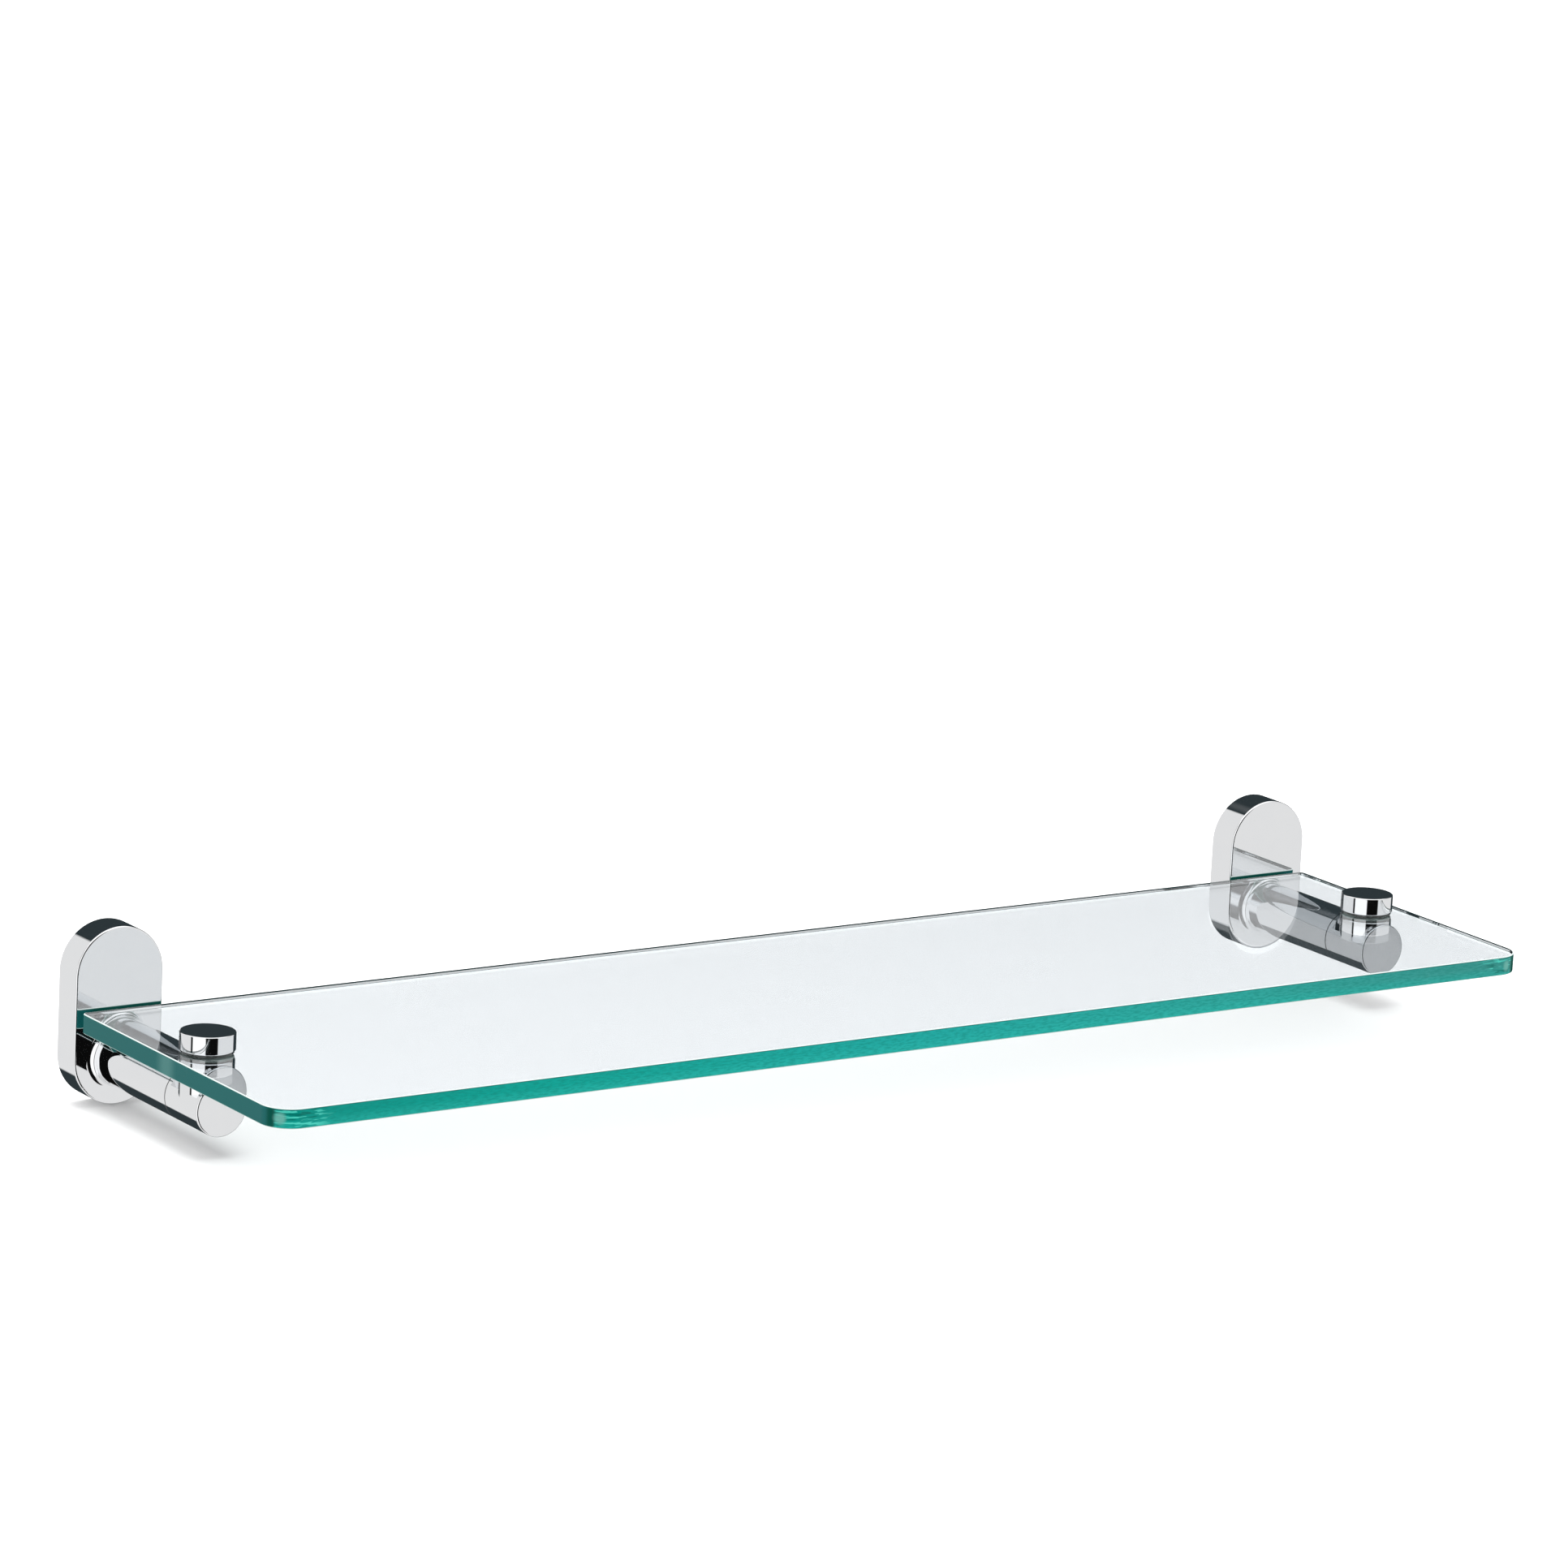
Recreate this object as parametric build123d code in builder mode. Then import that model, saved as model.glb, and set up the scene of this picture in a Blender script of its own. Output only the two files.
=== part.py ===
from build123d import *
import os

# Glass wall shelf on two brackets, in millimetres.
#
# X runs along the shelf, the wall is the plane Y = 0, the shelf stands out
# towards -Y, and Z is up. The origin is on the wall, midway between the two
# brackets and level with the middle of their covers, which is also the centre
# of the four screw holes that hold the shelf up.
#
# Each bracket is a hollow oval cover with an arm cast in one piece. It hooks
# over a steel plate on the wall and a grub screw from below locks it there. A
# head is screwed to the end of the arm. Its round seat carries the glass, and a
# knob with a threaded stud clamps the glass down on to it.

# ---- glass panel
shelf_length = 600.0
shelf_depth = 153.5
glass_thickness = 8.0
glass_top = 3.5
front_corner_radius = 12.0
back_corner_radius = 2.5
ground_edge = 0.5
stud_hole_radius = 5.0
wall_side_gap = 2.4

# ---- bracket cover, a flat-faced oval standing on its end
bracket_inset = 18.0
cover_width = 38.5
cover_height = 72.0
cover_depth = 14.0
cover_wall = 2.0
cover_front_wall = 2.5
cover_edge_radius = 0.8

# ---- arm and head
arm_radius = 11.0
arm_length = 58.0
arm_root_radius = 3.0
arm_core_radius = 8.0
arm_end_wall = 5.0
head_length = 25.3
head_front_radius = 0.8
joint_line_chamfer = 0.25
seat_radius = 10.8
seat_edge_chamfer = 0.3
seat_foot_height = 5.0
seat_bite = 0.6

# ---- clear plastic pieces round the stud
washer_thickness = 0.8
washer_radius = 10.5
stud_clearance_radius = 2.8
sleeve_radius = 4.7
sleeve_end_gap = 0.1

# ---- knob and its M5 stud
knob_radius = 11.0
knob_height = 7.3
knob_top_radius = 0.5
knob_bottom_radius = 0.5
stud_radius = 2.5
stud_length = 23.0
stud_socket_depth = 4.0
stud_end_chamfer = 0.5
thread_clearance = 0.05
head_thread_depth = 11.0

# ---- M6 cap screw that joins the head to the arm
cap_screw_radius = 3.0
cap_screw_length = 12.0
cap_head_radius = 5.0
cap_head_height = 6.0
cap_socket_width = 5.0
cap_socket_depth = 3.0
cap_hole_radius = 3.2
cap_thread_depth = 8.5

# ---- dowel on the head that keeps its seat upright
dowel_radius = 1.25
dowel_length = 3.0
dowel_offset = 5.75
dowel_clearance = 0.1

# ---- pressed steel plate on the wall
plate_thickness = 2.5
plate_gap = 0.3
plate_edge_chamfer = 0.4
wall_hole_spacing = 40.0
wall_hole_radius = 2.5
lug_width = 12.0
lug_reach = 10.0
hook_width = 12.0
hook_height = 3.0
hook_thickness = 1.0
hook_gap = 0.2

# ---- M4 grub screw that locks the cover from below
grub_radius = 2.0
grub_length = 6.0
grub_recess = 0.2
grub_distance_from_wall = 6.5
grub_boss_radius = 3.5
grub_boss_height = 2.5
grub_socket_width = 2.0
grub_socket_depth = 2.0
grub_tip_chamfer = 0.4

# ---- places worked out from the sizes above
glass_underside = glass_top - glass_thickness
glass_back = -cover_depth - wall_side_gap
glass_middle = glass_back - shelf_depth / 2
bracket_x = shelf_length / 2 - bracket_inset
arm_z = -(cover_height - cover_width) / 2
seat_top = glass_underside - washer_thickness
arm_start = -cover_depth
arm_end = arm_start - arm_length
head_end = arm_end - head_length
stud_y = (arm_end + head_end) / 2
knob_underside = glass_top + washer_thickness
stud_top = knob_underside + stud_socket_depth
cover_bottom = -cover_height / 2
cavity_bottom = cover_bottom + cover_wall
grub_start = cover_bottom + grub_recess
grub_end = grub_start + grub_length
hook_bottom = -cavity_bottom - hook_height
cut_overlap = 1.0


def facing_front(x, y, z):
    """A plane that looks out from the wall, so that extrusions run towards -Y."""
    return Plane(origin=(x, y, z), x_dir=(1, 0, 0), z_dir=(0, -1, 0))


def looking_up(x, y, z):
    """A level plane at a point, so that extrusions run up."""
    return Plane(origin=(x, y, z), x_dir=(1, 0, 0), z_dir=(0, 0, 1))


def hexagon_radius(width_across_flats):
    """The corner radius of a hexagon key of this size."""
    return width_across_flats / 3**0.5


def make_glass():
    """The toughened glass panel with a drilled hole over each head."""
    with BuildPart() as glass:
        with BuildSketch(looking_up(0, glass_middle, glass_underside)):
            Rectangle(shelf_length, shelf_depth)
        extrude(amount=glass_thickness)
        upright = glass.edges().filter_by(Axis.Z).group_by(Axis.Y)
        fillet(upright[0], radius=front_corner_radius)
        fillet(glass.edges().filter_by(Axis.Z).group_by(Axis.Y)[-1], radius=back_corner_radius)
        rims = glass.faces().filter_by(Axis.Z).edges()
        chamfer(rims, length=ground_edge)
        with BuildSketch(looking_up(0, stud_y, glass_underside)):
            with Locations((-bracket_x, 0), (bracket_x, 0)):
                Circle(stud_hole_radius)
        extrude(amount=glass_thickness, mode=Mode.SUBTRACT)
    return glass


def make_bracket(x):
    """The oval cover and its arm, cast as one piece, hollow and open at the wall."""
    with BuildPart() as casting:
        # the outer shape of the cover, with its front rim just broken
        with BuildSketch(facing_front(x, 0, 0)):
            SlotOverall(cover_height, cover_width, rotation=90)
        extrude(amount=cover_depth)
        fillet(casting.faces().sort_by(Axis.Y)[0].edges(), radius=cover_edge_radius)
        # the arm, swept into the cover by a small root radius
        with BuildSketch(facing_front(x, arm_start, arm_z)):
            Circle(arm_radius)
        extrude(amount=arm_length)
        circles = casting.edges().filter_by(GeomType.CIRCLE)
        arm_circles = circles.filter_by(lambda e: abs(e.radius - arm_radius) < ground_edge)
        fillet(arm_circles.sort_by(Axis.Y)[-1], radius=arm_root_radius)
        chamfer(casting.faces().sort_by(Axis.Y)[0].edges(), length=joint_line_chamfer)
        # the cavity of the cover and the core of the arm
        with BuildSketch(facing_front(x, 0, 0)):
            SlotOverall(cover_height - 2 * cover_wall, cover_width - 2 * cover_wall, rotation=90)
        extrude(amount=cover_depth - cover_front_wall, mode=Mode.SUBTRACT)
        with BuildSketch(facing_front(x, 0, arm_z)):
            Circle(arm_core_radius)
        extrude(amount=-arm_end - arm_end_wall, mode=Mode.SUBTRACT)
        # holes in the end of the arm for the cap screw and the dowel
        with BuildSketch(facing_front(x, arm_end, arm_z)):
            Circle(cap_hole_radius)
            with Locations((0, -dowel_offset)):
                Circle(dowel_radius + dowel_clearance)
        extrude(amount=-arm_end_wall - cut_overlap, mode=Mode.SUBTRACT)
        # the hook inside the top of the cover, which drops behind the wall plate
        with BuildSketch(facing_front(x, 0, hook_bottom)):
            with Locations((0, (hook_height + cut_overlap) / 2)):
                Rectangle(hook_width, hook_height + cut_overlap)
        extrude(amount=hook_thickness)
        # the threaded boss for the grub screw
        with BuildSketch(looking_up(x, -grub_distance_from_wall, cavity_bottom - cut_overlap)):
            Circle(grub_boss_radius)
        extrude(amount=cut_overlap + grub_boss_height)
        with BuildSketch(looking_up(x, -grub_distance_from_wall, cover_bottom - cut_overlap)):
            Circle(grub_radius + thread_clearance)
        extrude(amount=cut_overlap + cover_wall + grub_boss_height + cut_overlap, mode=Mode.SUBTRACT)
    return casting


def make_head(x):
    """The front piece of the arm, with the round seat that the glass stands on."""
    with BuildPart() as head:
        with BuildSketch(facing_front(x, arm_end, arm_z)):
            Circle(arm_radius)
        extrude(amount=head_length)
        fillet(head.faces().sort_by(Axis.Y)[0].edges(), radius=head_front_radius)
        chamfer(head.faces().sort_by(Axis.Y)[-1].edges(), length=joint_line_chamfer)
        # the head is cut down to a level foot round the seat, between two end walls
        with BuildSketch(looking_up(x, stud_y, arm_z + seat_foot_height)):
            Rectangle(2 * arm_radius, 2 * (seat_radius - seat_bite))
        extrude(amount=arm_radius, mode=Mode.SUBTRACT)
        # the seat stands on that foot and rises to just above the top of the arm
        with BuildSketch(looking_up(x, stud_y, arm_z)):
            Circle(seat_radius)
        extrude(amount=seat_top - arm_z)
        rims = head.edges().filter_by(GeomType.CIRCLE)
        chamfer(rims.sort_by(Axis.Z)[-1], length=seat_edge_chamfer)
        # threads for the knob's stud, from above, and for the cap screw, from behind
        with BuildSketch(looking_up(x, stud_y, seat_top)):
            Circle(stud_radius + thread_clearance)
        extrude(amount=-head_thread_depth, mode=Mode.SUBTRACT)
        with BuildSketch(facing_front(x, arm_end, arm_z)):
            Circle(cap_screw_radius + thread_clearance)
        extrude(amount=cap_thread_depth, mode=Mode.SUBTRACT)
        # the dowel that enters the end of the arm
        with BuildSketch(facing_front(x, arm_end, arm_z)):
            with Locations((0, -dowel_offset)):
                Circle(dowel_radius)
        extrude(amount=-dowel_length)
    return head


def make_arm_screw(x):
    """The M6 cap screw, seated inside the cored arm, that pulls the head on."""
    seat_y = arm_end + arm_end_wall
    with BuildPart() as screw:
        with BuildSketch(facing_front(x, seat_y, arm_z)):
            Circle(cap_screw_radius)
        extrude(amount=cap_screw_length)
        chamfer(screw.faces().sort_by(Axis.Y)[0].edges(), length=stud_end_chamfer)
        with BuildSketch(facing_front(x, seat_y + cap_head_height, arm_z)):
            Circle(cap_head_radius)
        extrude(amount=cap_head_height)
        chamfer(screw.faces().sort_by(Axis.Y)[-1].edges(), length=stud_end_chamfer)
        with BuildSketch(facing_front(x, seat_y + cap_head_height, arm_z)):
            RegularPolygon(hexagon_radius(cap_socket_width), 6)
        extrude(amount=cap_socket_depth, mode=Mode.SUBTRACT)
    return screw


def make_wall_plate(x):
    """The steel plate screwed to the wall, with a bent lug for the grub screw."""
    plate_width = cover_width - 2 * cover_wall - 2 * plate_gap
    plate_height = cover_height - 2 * cover_wall - 2 * plate_gap
    with BuildPart() as plate:
        with BuildSketch(facing_front(x, 0, 0)):
            SlotOverall(plate_height, plate_width, rotation=90)
        extrude(amount=plate_thickness)
        chamfer(plate.faces().sort_by(Axis.Y)[0].edges(), length=plate_edge_chamfer)
        # two holes for the wall screws, one above the other
        with BuildSketch(facing_front(x, 0, 0)):
            with GridLocations(0, wall_hole_spacing, 1, 2):
                Circle(wall_hole_radius)
        extrude(amount=plate_thickness, mode=Mode.SUBTRACT)
        # the rebate behind the top edge, where the cover hooks on
        with BuildSketch(facing_front(x, 0, hook_bottom - hook_gap)):
            with Locations((0, (hook_height + cut_overlap) / 2)):
                Rectangle(hook_width + 2 * cut_overlap, hook_height + cut_overlap)
        extrude(amount=hook_thickness + hook_gap, mode=Mode.SUBTRACT)
        # the lug that the grub screw presses up against
        with BuildSketch(looking_up(x, 0, grub_end)):
            with Locations((0, -lug_reach / 2)):
                Rectangle(lug_width, lug_reach)
        extrude(amount=plate_thickness)
    return plate


def make_grub_screw(x):
    """The M4 grub screw, with its key socket just inside the bottom of the cover."""
    with BuildPart() as grub:
        with BuildSketch(looking_up(x, -grub_distance_from_wall, grub_start)):
            Circle(grub_radius)
        extrude(amount=grub_length)
        chamfer(grub.faces().sort_by(Axis.Z)[-1].edges(), length=grub_tip_chamfer)
        with BuildSketch(looking_up(x, -grub_distance_from_wall, grub_start)):
            RegularPolygon(hexagon_radius(grub_socket_width), 6)
        extrude(amount=grub_socket_depth, mode=Mode.SUBTRACT)
    return grub


def make_ring(x, bottom, height, radius):
    """A flat ring round the stud: a washer or the sleeve in the glass."""
    with BuildPart() as ring:
        with BuildSketch(looking_up(x, stud_y, bottom)):
            Circle(radius)
            Circle(stud_clearance_radius, mode=Mode.SUBTRACT)
        extrude(amount=height)
    return ring


def make_knob(x):
    """The flat round knob, bored from below for its stud."""
    with BuildPart() as knob:
        with BuildSketch(looking_up(x, stud_y, knob_underside)):
            Circle(knob_radius)
        extrude(amount=knob_height)
        fillet(knob.faces().sort_by(Axis.Z)[-1].edges(), radius=knob_top_radius)
        fillet(knob.faces().sort_by(Axis.Z)[0].edges(), radius=knob_bottom_radius)
        with BuildSketch(looking_up(x, stud_y, knob_underside)):
            Circle(stud_radius + thread_clearance)
        extrude(amount=stud_socket_depth, mode=Mode.SUBTRACT)
    return knob


def make_stud(x):
    """The M5 stud that is fixed in the knob and screws into the head."""
    with BuildPart() as stud:
        with BuildSketch(looking_up(x, stud_y, stud_top - stud_length)):
            Circle(stud_radius)
        extrude(amount=stud_length)
        chamfer(stud.faces().filter_by(Axis.Z).edges(), length=stud_end_chamfer)
    return stud


def save(built, name):
    """Label one finished piece and write it as its own STEP file."""
    built.part.label = name
    export_step(built.part, f"parts/{name}.step")
    print(f"{name}: {built.part.volume:.0f} cubic mm")


os.makedirs("parts", exist_ok=True)
save(make_glass(), "glass_shelf")
for side, x in (("left", -bracket_x), ("right", bracket_x)):
    save(make_bracket(x), f"{side}_bracket")
    save(make_head(x), f"{side}_clamp_head")
    save(make_arm_screw(x), f"{side}_arm_screw")
    save(make_wall_plate(x), f"{side}_wall_plate")
    save(make_grub_screw(x), f"{side}_grub_screw")
    save(make_ring(x, seat_top, washer_thickness, washer_radius), f"{side}_lower_washer")
    sleeve_height = glass_thickness - 2 * sleeve_end_gap
    save(make_ring(x, glass_underside + sleeve_end_gap, sleeve_height, sleeve_radius), f"{side}_hole_sleeve")
    save(make_ring(x, glass_top, washer_thickness, washer_radius), f"{side}_upper_washer")
    save(make_knob(x), f"{side}_knob")
    save(make_stud(x), f"{side}_knob_stud")
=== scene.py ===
# %% [markdown]
# # A glass wall shelf on two chrome brackets
#
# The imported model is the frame: it already has every piece in its true place and size, in metres, with
# X along the shelf, the wall at Y = 0 and Z up. This notebook adds what the frame can't hold: the finish
# of each piece, the panel's ground and polished edges, the thread on the studs and the studio around it all.
# First we load the frame and keep its box, because the finished model has to stay inside that box.

# %% load the frame
import math

import bmesh
import bpy
from mathutils import Euler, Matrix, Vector


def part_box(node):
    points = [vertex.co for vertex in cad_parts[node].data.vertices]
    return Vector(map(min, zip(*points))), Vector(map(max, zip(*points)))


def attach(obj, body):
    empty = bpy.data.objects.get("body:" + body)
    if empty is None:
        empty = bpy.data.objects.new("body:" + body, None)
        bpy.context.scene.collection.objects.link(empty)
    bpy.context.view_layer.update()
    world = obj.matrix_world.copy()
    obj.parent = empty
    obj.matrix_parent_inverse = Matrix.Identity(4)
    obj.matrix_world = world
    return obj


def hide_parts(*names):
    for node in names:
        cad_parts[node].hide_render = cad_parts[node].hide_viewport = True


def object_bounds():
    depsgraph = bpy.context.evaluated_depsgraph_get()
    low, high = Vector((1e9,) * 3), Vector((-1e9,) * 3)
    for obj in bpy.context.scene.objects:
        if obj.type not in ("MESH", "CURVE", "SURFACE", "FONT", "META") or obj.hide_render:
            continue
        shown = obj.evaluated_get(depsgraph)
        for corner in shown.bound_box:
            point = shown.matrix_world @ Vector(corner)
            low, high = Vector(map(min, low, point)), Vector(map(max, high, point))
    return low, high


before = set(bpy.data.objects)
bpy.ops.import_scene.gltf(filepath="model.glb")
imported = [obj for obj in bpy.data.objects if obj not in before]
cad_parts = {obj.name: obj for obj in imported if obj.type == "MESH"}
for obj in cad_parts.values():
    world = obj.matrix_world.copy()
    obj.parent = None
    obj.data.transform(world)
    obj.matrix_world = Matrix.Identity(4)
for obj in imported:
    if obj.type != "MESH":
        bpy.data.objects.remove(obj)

cad_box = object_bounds()
sides = ("left", "right")
mm = 0.001
print("CAD box", [round(v, 4) for corner in cad_box for v in corner])

# %% [markdown]
# ## Writing a material as arithmetic
#
# A Blender material is a graph of nodes joined by wires, and a long list of links is hard to read. So one
# small class holds a wire, and `+`, `-`, `*` and `/` on it add the Math node that does that sum. A second
# class starts a fresh graph and makes every other kind of node through one method: the node's type, its
# settings, which are set first, and then the values or wires that go into its sockets.

# %% wires and graphs
class Wire:
    """One output socket of a node. Arithmetic on it adds Math nodes to the same graph."""

    def __init__(self, graph, socket):
        self.graph = graph
        self.socket = socket

    def math(self, operation, *values):
        return self.graph.node("ShaderNodeMath", {"operation": operation}, dict(enumerate((self, *values))))

    def __add__(self, other):
        return self.math("ADD", other)

    def __sub__(self, other):
        return self.math("SUBTRACT", other)

    def __rsub__(self, other):
        return self.math("MULTIPLY_ADD", -1.0, other)

    def __mul__(self, other):
        return self.math("MULTIPLY", other)

    def __truediv__(self, other):
        return self.math("DIVIDE", other)

    __radd__ = __add__
    __rmul__ = __mul__


class Graph:
    """The node graph of a material or a world, emptied and ready to fill."""

    def __init__(self, owner):
        owner.use_nodes = True
        self.tree = owner.node_tree
        self.tree.nodes.clear()

    def node(self, kind, settings=None, inputs=None, output=0):
        made = self.tree.nodes.new(kind)
        for name, value in (settings or {}).items():
            if name == "stops":
                set_stops(made.color_ramp, value)
            else:
                setattr(made, name, value)
        for name, value in (inputs or {}).items():
            if isinstance(value, Wire):
                self.tree.links.new(value.socket, made.inputs[name])
            else:
                made.inputs[name].default_value = value
        return Wire(self, made.outputs[output]) if made.outputs else made


def set_stops(ramp, stops):
    """Puts these (share, colour) stops on a colour ramp, in place of the two it comes with."""
    while len(ramp.elements) > 1:
        ramp.elements.remove(ramp.elements[-1])
    for i, (share, colour) in enumerate(stops):
        stop = ramp.elements[0] if i == 0 else ramp.elements.new(share)
        stop.position = share
        stop.color = colour if len(colour) == 4 else (*colour, 1.0)


def grey(level):
    """A neutral colour of this brightness."""
    return (level, level, level, 1.0)


def new_material(name, build):
    """Makes a material whose surface is the shader that build(graph) returns."""
    material = bpy.data.materials.new(name)
    graph = Graph(material)
    graph.node("ShaderNodeOutputMaterial", None, {"Surface": build(graph)})
    return material


print("wires and graphs are ready")

# %% [markdown]
# ## Where a point is, and noise that stays put
#
# A pattern has to stay on its piece when the piece moves, so every pattern here reads object coordinates.
# The helpers below give noise in those coordinates, how far along X, Y or Z a point is, and a soft step, which
# turns any such number into a mask. A Mix node set to colours then lays one colour over another by that mask.

# %% helpers for patterns
def object_noise(graph, scale, detail=3.0, stretch=(1.0, 1.0, 1.0)):
    """Noise that is fixed to the piece, with scale in lumps for each metre."""
    spot = graph.node("ShaderNodeTexCoord", output="Object")
    mapped = graph.node("ShaderNodeMapping", None, {"Vector": spot, "Scale": stretch})
    return graph.node("ShaderNodeTexNoise", None, {"Vector": mapped, "Scale": scale, "Detail": detail})


def position(graph, axis):
    """How far along X, Y or Z a point of the piece is, in metres."""
    spot = graph.node("ShaderNodeTexCoord", output="Object")
    return graph.node("ShaderNodeSeparateXYZ", None, {0: spot}, output=axis)


def soft_step(graph, value, start, end):
    """0 before start, 1 after end, and a smooth rise between. The start may be the larger of the two."""
    settings = {"interpolation_type": "SMOOTHSTEP"}
    return graph.node("ShaderNodeMapRange", settings, {"Value": value, "From Min": start, "From Max": end})


def mix_colours(graph, factor, first, second):
    """A mix of two colours, by a Mix node set to colours."""
    inputs = {0: factor, 6: first, 7: second}
    return graph.node("ShaderNodeMix", {"data_type": "RGBA"}, inputs, output=2)


print("helpers for patterns are ready")

# %% [markdown]
# ## Chrome
#
# Plated chrome is a mirror with a faint blue cast. What keeps it from looking like computer metal is that
# it isn't perfect: the casting under the plate is a little wavy, and handling leaves a thin haze. A slow
# noise gives the waviness through a very weak Bump node, and a second, streakier noise moves the roughness
# between a clean mirror and that haze. Where the head meets the arm, the joint shows as a dark hairline. It
# is too fine to model, so a dark line is laid there by position.

# %% chrome plate
joint_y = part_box("left_bracket")[0].y
joint_edge, plate_edge = 0.15 * mm, 0.40 * mm
joint_dark = (0.03, 0.03, 0.03, 1.0)


def chrome_plate(graph):
    haze = object_noise(graph, 90.0, 4.0, (1.0, 0.35, 1.0))
    waviness = object_noise(graph, 45.0, 1.0)
    bump = graph.node("ShaderNodeBump", None, {"Strength": 0.012, "Distance": 0.0004, "Height": waviness})
    colour = mix_colours(graph, haze, (0.84, 0.85, 0.865, 1.0), (0.875, 0.88, 0.885, 1.0))
    from_joint = (position(graph, "Y") - joint_y).math("ABSOLUTE")
    colour = mix_colours(graph, soft_step(graph, from_joint, joint_edge, plate_edge), joint_dark, colour)
    inputs = {"Base Color": colour, "Metallic": 1.0, "Roughness": haze * 0.035 + 0.008, "Normal": bump}
    return graph.node("ShaderNodeBsdfPrincipled", None, inputs)


chrome = new_material("chrome_plate", chrome_plate)
print("made", chrome.name, "with its joint at y =", round(joint_y, 4))

# %% [markdown]
# ## Glass, seen through its faces
#
# Clear float glass is nearly colourless through its 8 mm, so the faces get a Principled shader that lets
# everything through and bends it, with a trace of cool tint and the faint ripple that floating leaves. Lamps
# would cast a solid black shadow of it, because a shadow ray doesn't bend, so shadow rays go straight through
# and take only a trace of green with them. The Light Path node tells which rays those are.

# %% clear glass for the faces
def light_path(graph, name):
    """What kind of ray is asking, or how often it has been mirrored, scattered or let through."""
    return graph.node("ShaderNodeLightPath", output=name)


def clear_glass(graph, tint):
    ripple = object_noise(graph, 6.0, 1.0)
    bump = graph.node("ShaderNodeBump", None, {"Strength": 0.004, "Distance": 0.002, "Height": ripple})
    inputs = {"Base Color": tint, "Roughness": 0.0, "IOR": 1.52, "Transmission Weight": 1.0, "Normal": bump}
    return graph.node("ShaderNodeBsdfPrincipled", None, inputs)


def lets_lamps_through(graph, shader):
    """The shader, except that shadow rays pass straight through it."""
    is_shadow = light_path(graph, "Is Shadow Ray")
    clear = graph.node("ShaderNodeBsdfTransparent", None, {"Color": (0.955, 0.975, 0.970, 1.0)})
    return graph.node("ShaderNodeMixShader", None, {0: is_shadow, 1: shader, 2: clear})


def panel_face(graph):
    return lets_lamps_through(graph, clear_glass(graph, (0.924, 0.960, 0.986, 1.0)))


glass_face = new_material("panel_face_glass", panel_face)
print("made", glass_face.name)

# %% [markdown]
# ## The painted green glow of the edge
#
# The edge is another matter. Light that leaves there has run along inside the panel, and the iron in the glass
# has taken its red, so the edge glows green. Following that light for real needs dozens of bounces, so here
# the glow is painted, with its light and shade, from where a point is and which way it faces. First we need
# helpers
# for those: the height on the edge, the place along the panel and the direction of the surface.

# %% places and directions on the panel
panel_low, panel_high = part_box("glass_shelf")
panel_middle = (panel_low.z + panel_high.z) / 2
half_thickness = (panel_high.z - panel_low.z) / 2


def height_on_edge(graph):
    """-1 at the bottom of the panel and 1 at its top."""
    return (position(graph, "Z") - panel_middle) / half_thickness


def share_along(graph):
    """0 at the left end of the panel and 1 at its right end."""
    return (position(graph, "X") - panel_low.x) / (panel_high.x - panel_low.x)


def from_middle(graph):
    """0 in the middle of the panel's length and 0.5 at both ends."""
    return (share_along(graph) - 0.5).math("ABSOLUTE")


def facing(graph, axis):
    """How far the surface faces along an axis, from -1 to 1."""
    normal = graph.node("ShaderNodeNewGeometry", output="Normal")
    return graph.node("ShaderNodeSeparateXYZ", None, {0: normal}, output=axis)


print("panel is", round(2 * half_thickness / mm, 2), "mm thick, middle at z =", round(panel_middle, 4))

# %% [markdown]
# The front edge looks across the depth and gets a bright painted glow: deepest at the left, brightest in the
# middle and greyer towards the right, and painted brighter low down. The grinding belt leaves marks that are
# long along the edge, so their noise is stretched that way, and near the corners they turn into bright and
# dark streaks.

# %% the front edge
# Painted glow: the front edge's brightness from left to right, and a paler green painted low down.
front_glow_tones = [(0.0, (0.0, 0.27, 0.22)), (0.2, (0.0, 0.36, 0.295)), (0.5, (0.011, 0.40, 0.365)),
               (0.75, (0.024, 0.375, 0.33)), (1.0, (0.040, 0.27, 0.245))]
painted_low_glow, belt_shade = (0.025, 0.50, 0.43, 1.0), (0.0, 0.20, 0.16, 1.0)
bright_streak, dark_streak = (0.09, 0.70, 0.57, 1.0), (0.0, 0.13, 0.10, 1.0)


def front_painted_glow(graph):
    tone = graph.node("ShaderNodeValToRGB", {"stops": front_glow_tones}, {0: share_along(graph)})
    # painted brighter glow low down on the front edge
    low_down = soft_step(graph, height_on_edge(graph), 0.3, -1.0)
    tone = mix_colours(graph, low_down * 0.45, tone, painted_low_glow)
    belt = soft_step(graph, object_noise(graph, 1500.0, 4.0, (0.22, 0.22, 1.0)), 0.38, 0.66)
    tone = mix_colours(graph, belt * 0.42, tone, belt_shade)
    streaks = object_noise(graph, 1100.0, 2.0, (0.12, 0.12, 1.0))
    near_corner = soft_step(graph, from_middle(graph), 0.455, 0.475)
    bright = soft_step(graph, streaks, 0.56, 0.62) * near_corner
    dark = soft_step(graph, streaks, 0.42, 0.36) * near_corner
    tone = mix_colours(graph, bright * 0.8, tone, bright_streak)
    return mix_colours(graph, dark * 0.7, tone, dark_streak)


print("front edge has", len(front_glow_tones), "tones from left to right")
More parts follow.
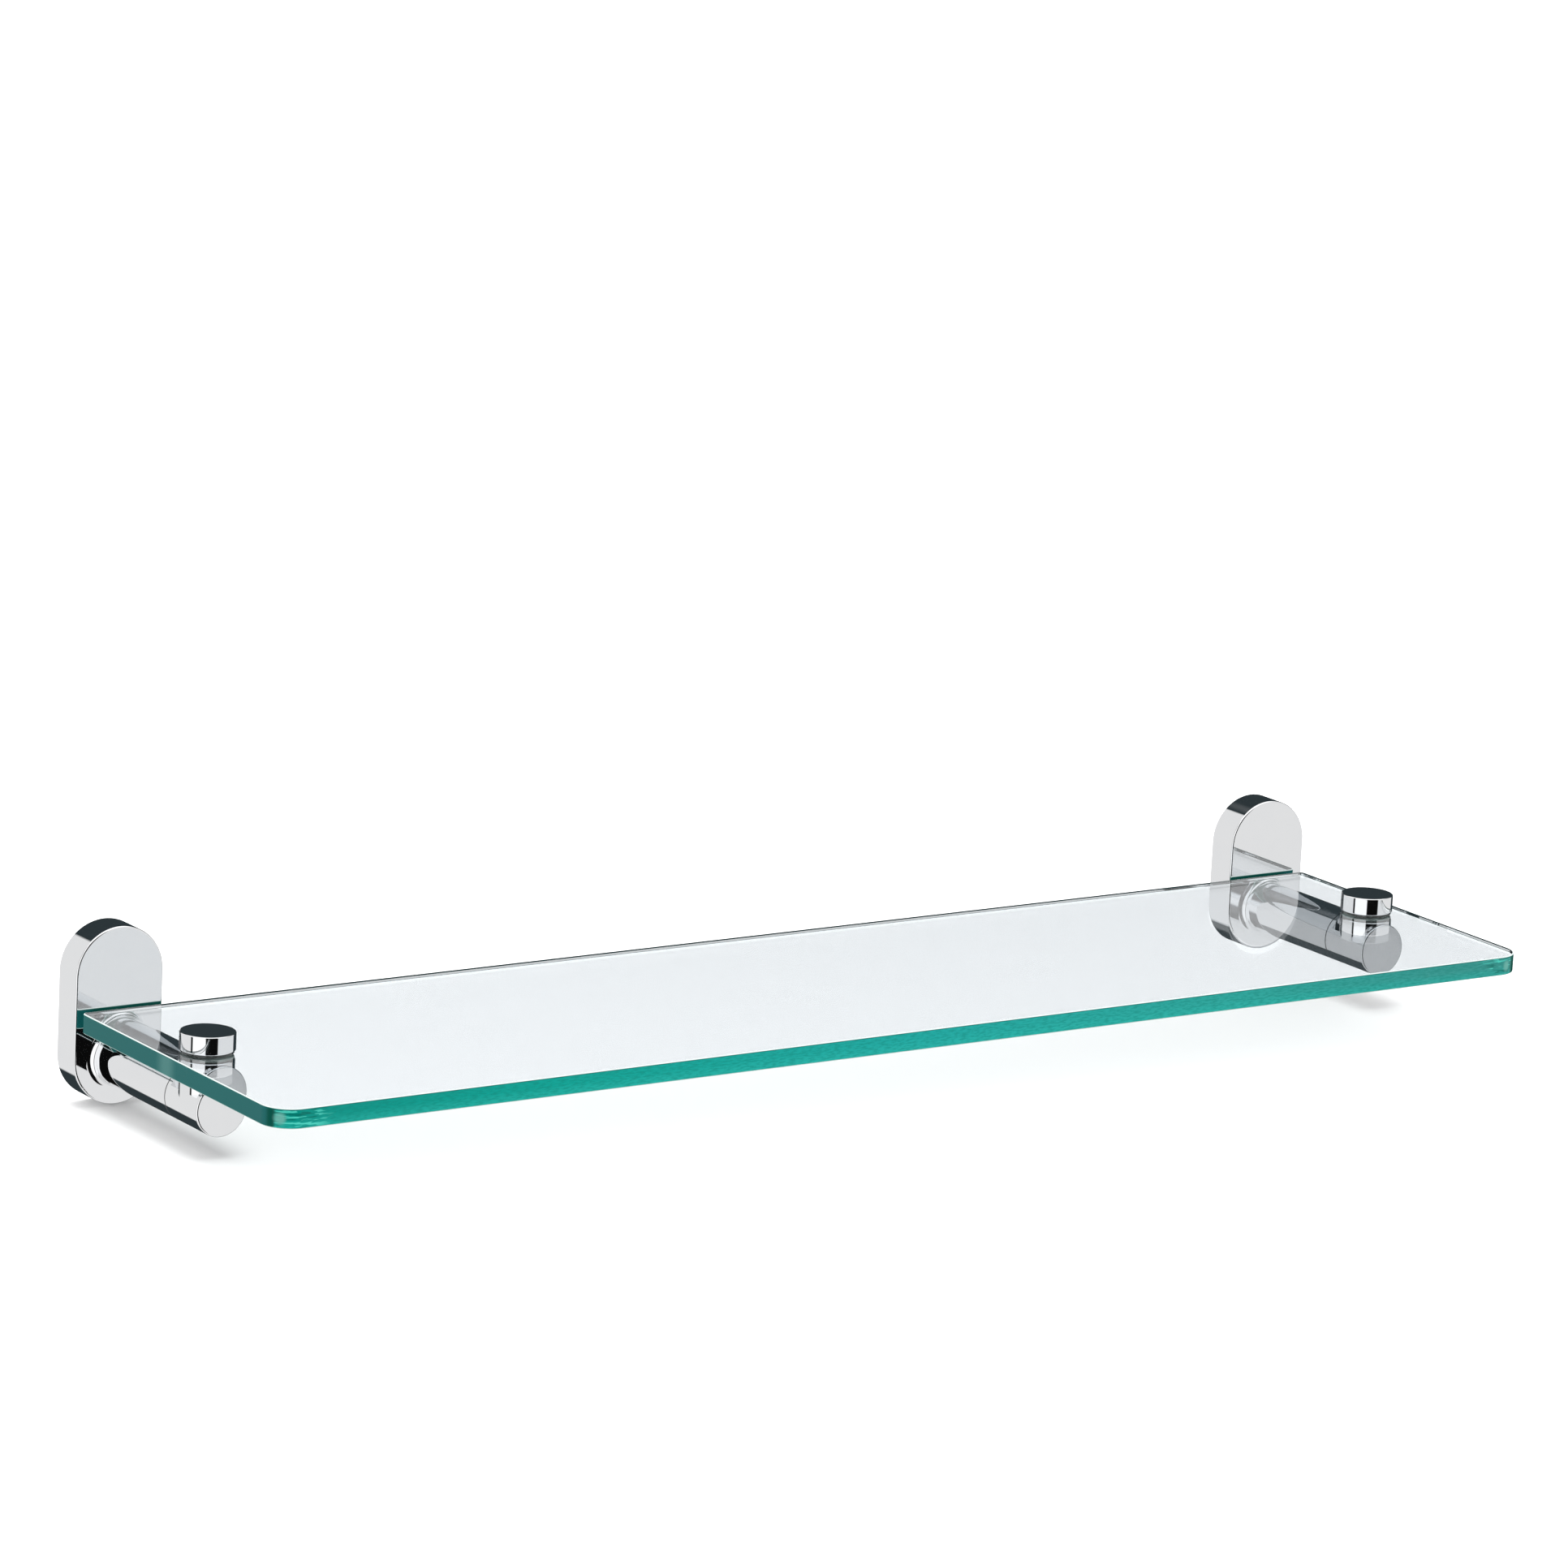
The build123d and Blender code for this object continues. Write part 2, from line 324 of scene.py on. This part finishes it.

# %% [markdown]
# The ends look down the whole length, so they are painted dark, with a painted paler patch of light in line
# with the stud. The back edge is painted darker still, except close to its ends. Each rounded front corner
# turns from the end's green through a painted strip of deep shade to the front's, and a soft pale oval of
# painted highlight lies on it, where the corner gathers the light.

# %% the ends, the back and the corners
# Painted shade: darker greens for the ends, a strip on each front corner and the back edge.
end_painted_shade, corner_painted_shade = (0.008, 0.125, 0.122, 1.0), (0.0, 0.080, 0.060, 1.0)
back_painted_shade, painted_stud_light = (0.004, 0.085, 0.065, 1.0), (0.11, 0.29, 0.27, 1.0)
# Painted highlight: a soft pale oval on each rounded front corner.
painted_corner_highlight, highlight_oval_height = (0.15, 0.44, 0.38, 1.0), 0.75
painted_highlight_ovals = ((-0.70, 0.18), (0.18, 0.17))    # for each, how far its middle faces sideways, and its reach
stud_y = sum(corner.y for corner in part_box("left_knob_stud")) / 2
faces_an_end = [(0.012, grey(1.0)), (0.035, grey(0.0)), (0.965, grey(0.0)), (0.988, grey(1.0))]


def end_colour(graph):
    """The green of the two ends, painted dark as shade, with a painted paler patch of light."""
    from_stud = (position(graph, "Y") - stud_y).math("ABSOLUTE")
    # painted paler patch of light on the ends, in line with the stud
    patch = soft_step(graph, from_stud, 9 * mm, 1 * mm)
    return mix_colours(graph, patch * 0.55, end_painted_shade, painted_stud_light)


def painted_highlight_spot(sideways, height, centre, reach):
    """1 in the middle of a painted highlight oval on the rounded corner, fading to 0 at its rim."""
    across = (sideways - centre) / reach
    up = height / highlight_oval_height
    return soft_step(across.graph, (across * across + up * up).math("SQRT"), 1.05, 0.35)


def edge_painted_glow(graph):
    """The painted glow that comes out of the edge, lighter or darker by the way it faces and the place on it.
    """
    sideways = facing(graph, "X")
    height = height_on_edge(graph)
    at_end = graph.node("ShaderNodeValToRGB", {"stops": faces_an_end}, {0: sideways * 0.5 + 0.5})
    colour = mix_colours(graph, at_end, corner_painted_shade, end_colour(graph))
    to_front = soft_step(graph, sideways, -0.86, -0.78) * soft_step(graph, sideways, 0.52, 0.32)
    colour = mix_colours(graph, to_front, colour, front_painted_glow(graph))
    # painted highlight ovals on the rounded front corners
    for centre, reach in painted_highlight_ovals:
        spot = painted_highlight_spot(sideways, height, centre, reach)
        colour = mix_colours(graph, spot * 0.85, colour, painted_corner_highlight)
    # the back edge is painted darker, as shade, except near its ends
    near_end = soft_step(graph, from_middle(graph), 0.485, 0.4925)
    back = mix_colours(graph, near_end, back_painted_shade, end_painted_shade)
    return mix_colours(graph, soft_step(graph, facing(graph, "Y"), 0.0, 0.6), colour, back)


print("the ends' paler patch is at y =", round(stud_y, 4))

# %% [markdown]
# The two arrises get painted fine lines of light and shade: a white highlight along the top, with a dark line
# of shade under it, and grey along the bottom. Most of the green is emission, a painted glow for the light
# that comes from inside. Seen from within the glass, the lower part of the edge is clear and mirrors as it
# should, and the upper part is a painted dark rim of shade, which draws the thin line that we see along the
# far side through the top.

# %% the edge's shader
# Painted light and shade on the arrises: a dark line and a white highlight along the top, a pale grey line
# along the bottom.
painted_arris_lines = ((0.82, 0.88, (0.02, 0.15, 0.13, 1.0)), (0.90, 0.94, (0.88, 0.97, 0.96, 1.0)),
              (-0.89, -0.93, (0.42, 0.60, 0.56, 1.0)))


def seen_from_outside(graph):
    colour = edge_painted_glow(graph)
    for start, end, tone in painted_arris_lines:
        colour = mix_colours(graph, soft_step(graph, height_on_edge(graph), start, end), colour, tone)
    grain = object_noise(graph, 700.0, 3.0)
    bump = graph.node("ShaderNodeBump", None, {"Strength": 0.04, "Distance": 0.0003, "Height": grain})
    # Painted glow: most of the edge's colour goes out as emission, and only a dimmed share is base colour.
    dimmed = mix_colours(graph, 0.75, colour, grey(0.0))
    inputs = {"Base Color": dimmed, "Roughness": 0.2, "Specular IOR Level": 0.08, "Normal": bump,
              "Emission Color": colour, "Emission Strength": 0.6}
    return graph.node("ShaderNodeBsdfPrincipled", None, inputs)


# Painted shade: the upper part of the edge, seen from within the glass, is a near-black rim with a faint green
# glow.
def painted_dark_rim(graph):
    inputs = {"Base Color": grey(0.0), "Specular IOR Level": 0.0, "Roughness": 0.5,
              "Emission Color": (0.005, 0.030, 0.028, 1.0), "Emission Strength": 1.0}
    return graph.node("ShaderNodeBsdfPrincipled", None, inputs)


def panel_edge(graph):
    through = clear_glass(graph, (0.75, 0.93, 0.90, 1.0))
    outside = graph.node("ShaderNodeMixShader", None, {0: 0.02, 1: seen_from_outside(graph), 2: through})
    upper_part = soft_step(graph, height_on_edge(graph), 0.05, 0.25)
    inside = graph.node("ShaderNodeMixShader", None, {0: upper_part, 1: through, 2: painted_dark_rim(graph)})
    from_within = graph.node("ShaderNodeNewGeometry", output="Backfacing")
    return graph.node("ShaderNodeMixShader", None, {0: from_within, 1: outside, 2: inside})


glass_edge = new_material("panel_edge_glass", panel_edge)
print("made", glass_edge.name, "with", len(painted_arris_lines), "fine lines")

# %% [markdown]
# ## Soft vinyl and the hidden metals
#
# The washers are stamped from clear vinyl. It is duller than glass, a little cloudy, and bends light less.
# Behind the covers and inside the arms are three plain metals. Zinc plate on pressed steel is grey with
# crystal patches, and so dull that the shader treats only half of it as metal and lets the rest scatter light.
# Stainless studs are turned, so they carry fine rings round their axis, and black oxide is a near-black
# finish that rubs back to metal in places. Each is one noise that moves colour and roughness together.

# %% vinyl and metals
def vinyl(graph):
    cloud = object_noise(graph, 400.0, 2.0)
    colour = mix_colours(graph, cloud, (0.78, 0.90, 0.86, 1.0), (0.93, 0.97, 0.95, 1.0))
    bump = graph.node("ShaderNodeBump", None, {"Strength": 0.25, "Distance": 0.0003, "Height": cloud})
    inputs = {"Base Color": colour, "Roughness": cloud * 0.10 + 0.02, "IOR": 1.48,
              "Transmission Weight": 0.95, "Normal": bump}
    return lets_lamps_through(graph, graph.node("ShaderNodeBsdfPrincipled", None, inputs))


def plain_metal(dark, light, roughness, spread, scale, stretch=(1.0, 1.0, 1.0), metallic=1.0):
    """Builds a metal whose colour and roughness both follow one noise."""
    def build(graph):
        grain = object_noise(graph, scale, 5.0, stretch)
        bump = graph.node("ShaderNodeBump", None, {"Strength": 0.15, "Distance": 0.0002, "Height": grain})
        inputs = {"Base Color": mix_colours(graph, grain, dark, light), "Metallic": metallic,
                  "Roughness": grain * spread + roughness, "Normal": bump}
        return graph.node("ShaderNodeBsdfPrincipled", None, inputs)
    return build


soft_vinyl = new_material("clear_vinyl", vinyl)
dull_zinc = plain_metal(grey(0.42), (0.68, 0.70, 0.72, 1.0), 0.28, 0.25, 160.0, metallic=0.5)
turned_steel = plain_metal(grey(0.50), grey(0.68), 0.14, 0.16, 900.0, stretch=(0.05, 0.05, 1.0))
oxide = plain_metal(grey(0.02), grey(0.10), 0.32, 0.25, 350.0)
zinc = new_material("zinc_plated_steel", dull_zinc)
stainless = new_material("turned_stainless", turned_steel)
black_oxide = new_material("black_oxide_steel", oxide)
print("made", soft_vinyl.name, zinc.name, stainless.name, black_oxide.name)

# %% [markdown]
# ## Dressing the frame's own pieces
#
# The cast bracket, the head, the knob and the small parts already have their true shape, so they stay as they
# are, and only their finish changes. The frame marks each with a plain material in its first slot, and we put
# ours there.

# %% dress the frame
finishes = {"bracket": chrome, "clamp_head": chrome, "knob": chrome,
            "arm_screw": black_oxide, "wall_plate": zinc, "grub_screw": stainless,
            "lower_washer": soft_vinyl, "hole_sleeve": soft_vinyl, "upper_washer": soft_vinyl}
for side in sides:
    for piece, finish in finishes.items():
        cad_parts[f"{side}_{piece}"].material_slots[0].material = finish
print("dressed", len(sides) * len(finishes), "pieces")

# %% [markdown]
# ## The glass panel
#
# The real panel is cut from a sheet, its two front corners rounded, its edges ground flat with a small
# arris along top and bottom, and its two holes drilled. The frame's panel has that shape but only one finish,
# and ours needs two. A flat curve suits it: one outline and two circles, filled, thickened by extrude, and
# given its arris by bevel. Turned into a mesh, its level faces and its two holes become clear glass and the
# rest the green edge.

# %% outline of the panel
def arc(centre, radius, start, turn, steps):
    """Points along an arc, with angles in degrees."""
    angles = [math.radians(start + turn * i / steps) for i in range(steps + 1)]
    return [(centre[0] + radius * math.cos(a), centre[1] + radius * math.sin(a)) for a in angles]


front_corner, back_corner, arris = 12 * mm, 2.5 * mm, 0.5 * mm
corners = ((panel_low.x, panel_low.y, 180, front_corner), (panel_high.x, panel_low.y, 270, front_corner),
           (panel_high.x, panel_high.y, 0, back_corner), (panel_low.x, panel_high.y, 90, back_corner))
outline = []
for x, y, start, radius in corners:
    centre = (x + math.copysign(radius, -x), y + (radius if y == panel_low.y else -radius))
    outline += arc(centre, radius, start, 90, 24)
print("outline has", len(outline), "points")

# %% helpers for new pieces
def closed_line(curve, points):
    """Adds a closed straight-sided spline through these flat points."""
    line = curve.splines.new("POLY")
    line.points.add(len(points) - 1)
    for point, (x, y) in zip(line.points, points):
        point.co = (x, y, 0, 1)
    line.use_cyclic_u = True


def new_piece(name, mesh, body, slot, *materials):
    """An object of this mesh, with its finishes, riding on a body of the frame."""
    for material in materials:
        mesh.materials.append(material)
    piece = bpy.data.objects.new(name, mesh)
    bpy.context.collection.objects.link(piece)
    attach(piece, body)
    return piece


def middle(node):
    """The middle of a frame piece's box."""
    corner_a, corner_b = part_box(node)
    return (Vector(corner_a) + Vector(corner_b)) / 2


hole_centres = [middle(f"{side}_knob_stud") for side in sides]
hole_radius = 5 * mm
print("holes are centred at", [tuple(round(v, 4) for v in centre) for centre in hole_centres])

# %% fill and thicken the panel
flat = bpy.data.curves.new("panel_outline", "CURVE")
flat.dimensions, flat.fill_mode = "2D", "BOTH"
closed_line(flat, outline)
for centre in hole_centres:
    closed_line(flat, arc(centre, hole_radius, 0, 360, 64)[:-1])
flat.extrude = half_thickness - arris
flat.bevel_depth, flat.bevel_resolution, flat.offset = arris, 2, -arris
shape = bpy.data.objects.new("panel_outline", flat)
bpy.context.collection.objects.link(shape)
solid = bpy.data.meshes.new_from_object(shape.evaluated_get(bpy.context.evaluated_depsgraph_get()))
bpy.data.objects.remove(shape)
print("thickened outline has", len(solid.vertices), "points")

# %% [markdown]
# A filled curve comes out as a cap, walls and a second cap that only touch, so their doubled points are merged
# to make one closed solid, and it is lifted to its height. Each face then gets its finish by the way it faces,
# and is shaded smooth unless it is level. Edges sharper than 8 degrees stay crisp, so the arrises do too.

# %% finish the panel
work = bmesh.new()
work.from_mesh(solid)
bmesh.ops.remove_doubles(work, verts=work.verts, dist=0.01 * mm)
bmesh.ops.translate(work, verts=work.verts, vec=(0, 0, panel_middle))
bmesh.ops.recalc_face_normals(work, faces=work.faces)
for face in work.faces:
    level = abs(face.normal.z) > 0.999
    spot = face.calc_center_median()
    in_hole = min((spot - centre).to_2d().length for centre in hole_centres) < hole_radius + 1 * mm
    face.smooth = not level
    face.material_index = 0 if level or in_hole else 1
work.to_mesh(solid)
work.free()
solid.set_sharp_from_angle(angle=math.radians(8))
panel = new_piece("glass_panel", solid, "shelf", "clear_glass", glass_face, glass_edge)
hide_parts("glass_shelf")
print("panel has", len(solid.polygons), "faces and measures", [round(v, 4) for v in panel.dimensions])

# %% [markdown]
# ## Threads on the studs
#
# When a knob is unscrewed its stud comes into sight, and a stud is known by its thread. A modifier could wind
# a profile up a screw, but a tube whose radius follows a wave is shorter and always closed: at each height
# and angle the wave says how far the point is from the crest, one pitch for each turn, which is a helix. The
# flanks rise straight from root to crest, and the two ends taper, as a turned stud's do, to find their hole.

# %% threaded studs
def threaded_stud(bottom, top, radius, pitch, around=36, steps=8):
    """A closed tube with a thread, standing on (x, y, z) = bottom and ending at the height top."""
    depth, chamfer, flank_slope = 0.54 * pitch, 0.5 * mm, 2.3
    rings = round((top - bottom.z) / pitch * steps)
    work = bmesh.new()
    grid = []
    for i in range(rings + 1):
        z = bottom.z + (top - bottom.z) * i / rings
        taper = radius - chamfer + min(z - bottom.z, top - z)
        ring = []
        for k in range(around):
            phase = ((z - bottom.z) / pitch - k / around) % 1
            crest = min(1.0, flank_slope * abs(phase - 0.5))
            r = min(radius - depth + depth * crest, taper)
            a = 2 * math.pi * k / around
            ring.append(work.verts.new((bottom.x + r * math.cos(a), bottom.y + r * math.sin(a), z)))
        grid.append(ring)
    for ring, above in zip(grid, grid[1:]):
        for k in range(around):
            n = (k + 1) % around
            work.faces.new((ring[k], ring[n], above[n], above[k])).smooth = True
    work.faces.new(grid[0][::-1])
    work.faces.new(grid[-1])
    mesh = bpy.data.meshes.new("threaded_stud")
    work.to_mesh(mesh)
    work.free()
    return mesh


stud_radius, stud_pitch = 2.5 * mm, 0.8 * mm
for side in sides:
    foot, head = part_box(f"{side}_knob_stud")
    centre = middle(f"{side}_knob_stud")
    mesh = threaded_stud(Vector((centre.x, centre.y, foot.z)), head.z, stud_radius, stud_pitch)
    stud = new_piece(f"{side}_threaded_stud", mesh, f"{side}_knob_body", "stainless_steel", stainless)
    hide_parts(f"{side}_knob_stud")
print("each stud has", len(mesh.polygons), "faces")

# %% [markdown]
# ## The studio
#
# Chrome has no colour of its own: what we see is the studio. Small shiny goods are lit by a white room with
# large black boards in it, whose reflections draw the crisp dark bands that make chrome read as chrome. The
# bands could be modelled as boards round the shelf, but the sky does it with less noise. A colour ramp that
# runs once round the horizon holds the boards and the soft boxes. There is one ramp for the lower part of the
# walls and one for the upper part, where the wall in front is a little duller, and two more blends by height
# lay a pale ground under them and a soft ceiling over them.

# %% boards and soft boxes round the horizon
def bands(levels, edge=1.2):
    """Ramp stops from (angle where it begins, brightness), with a narrow soft edge at each change."""
    stops = []
    for (start, level), (_, before) in zip(levels, [levels[-1]] + levels[:-1]):
        stops += [((start - edge) / 360 + 0.5, before), ((start + edge) / 360 + 0.5, level)]
    return stops


soft_box, side_wall, upper_front_wall = grey(1.2), grey(0.85), grey(0.82)
ground_tone, ceiling = grey(0.85), grey(1.3)
board, back_board = grey(0.004), (0.030, 0.041, 0.046, 1.0)


def horizon(front_wall):
    """Once round the studio, from the back by the left, with this brightness on the wall in front."""
    return [(-166, side_wall), (-100, board), (-91, soft_box),
            (-37, board), (13.5, front_wall), (98, back_board)]


print("studio has", len(horizon(side_wall)), "walls and boards")

# %% [markdown]
# Only what has been mirrored at least once sees the boards. The camera, and what it sees through the glass,
# gets plain white. One more thing needs care: under the glass the floor gets the sky's light twice, once by
# shadow rays, which go straight through the glass, and once by rays that the glass bends on their way from
# the floor. Those last ones have been scattered and let through, so the sky counts half for them.

# %% the sky
def studio(graph):
    direction = graph.node("ShaderNodeTexCoord", output="Generated")
    x, y, z = (graph.node("ShaderNodeSeparateXYZ", None, {0: direction}, output=axis) for axis in "XYZ")
    turn = x.math("ARCTAN2", y * -1.0) / (2 * math.pi) + 0.5
    height = z.math("ARCSINE") * (180 / math.pi)
    walls, upper_walls = (graph.node("ShaderNodeValToRGB", {"stops": bands(horizon(front_wall))}, {0: turn})
                          for front_wall in (side_wall, upper_front_wall))
    blends = ((-4.0, 6.0, upper_walls), (-52.0, -64.0, ground_tone), (38.0, 52.0, ceiling))
    for start, end, tone in blends:
        walls = mix_colours(graph, soft_step(graph, height, start, end), walls, tone)
    mirrored = light_path(graph, "Glossy Depth").math("GREATER_THAN", 0.5)
    scattered, let_through = light_path(graph, "Diffuse Depth"), light_path(graph, "Transmission Depth")
    counted_twice = (scattered * let_through).math("MINIMUM", 1.0)
    seen = mix_colours(graph, mirrored, grey(1.65), walls)
    return graph.node("ShaderNodeBackground", None, {"Color": seen, "Strength": 1.0 - counted_twice * 0.5})


sky = bpy.data.worlds.new("studio")
graph = Graph(sky)
graph.node("ShaderNodeOutputWorld", None, {"Surface": studio(graph)})
bpy.context.scene.world = sky
bpy.context.scene.view_settings.view_transform = "Standard"
print("the sky has", len(sky.node_tree.nodes), "nodes")

# %% [markdown]
# ## Floor and lamp
#
# The shelf is shown just above a plain pale floor, lit by one large lamp overhead whose shadows are soft. The
# floor stays out of the reflections, where the studio's own ground takes its place, and out of what the glass
# lets through. The lamp is left out of both too, or it would put a hard square on every chrome face.

# %% floor and lamp
def pale_floor(graph):
    mottle = object_noise(graph, 3.0, 2.0)
    colour = mix_colours(graph, mottle, grey(0.79), grey(0.81))
    return graph.node("ShaderNodeBsdfPrincipled", None, {"Base Color": colour, "Roughness": 0.9})


half_side = 15.0
ground = bpy.data.meshes.new("floor")
ground_z = cad_box[0].z - 1 * mm
signs = ((-1, -1), (1, -1), (1, 1), (-1, 1))
ground.from_pydata([(x * half_side, y * half_side, ground_z) for x, y in signs], [], [(0, 1, 2, 3)])
ground.materials.append(new_material("pale_floor", pale_floor))
floor = bpy.data.objects.new("floor", ground)
bpy.context.collection.objects.link(floor)
floor.visible_glossy = False
floor.visible_transmission = False

lamp = bpy.data.lights.new("overhead_lamp", "AREA")
lamp.shape, lamp.size, lamp.size_y, lamp.energy = "RECTANGLE", 1.6, 1.0, 16.0
lamp.cycles.use_multiple_importance_sampling = False
overhead = bpy.data.objects.new("overhead_lamp", lamp)
bpy.context.collection.objects.link(overhead)
overhead.location = (-0.25, -0.05, 1.3)
lamp_aim = Vector((0, -0.08, 0))
overhead.rotation_euler = (lamp_aim - overhead.location).to_track_quat("-Z", "Y").to_euler()
overhead.visible_camera = False
overhead.visible_glossy = False
overhead.visible_transmission = False
print("floor at", round(ground_z, 4), "and lamp at", tuple(round(v, 2) for v in overhead.location))

# %% [markdown]
# ## The camera
#
# A long lens from about 3 m away, standing to the left and a little above, keeps the long panel from
# flaring. The small roll lifts the right-hand end of the shelf, as if the camera were hand-held.

# %% camera
lens = bpy.data.cameras.new("camera")
lens.lens, lens.sensor_width = 169.44, 36.0
camera = bpy.data.objects.new("camera", lens)
bpy.context.collection.objects.link(camera)
camera.location = (-1.6411, -2.4685, 0.7562)
camera.rotation_euler = Euler([math.radians(a) for a in (76.8931, -2.8217, -33.5485)])
bpy.context.scene.camera = camera
print("camera stands", round(camera.location.length, 2), "m away")
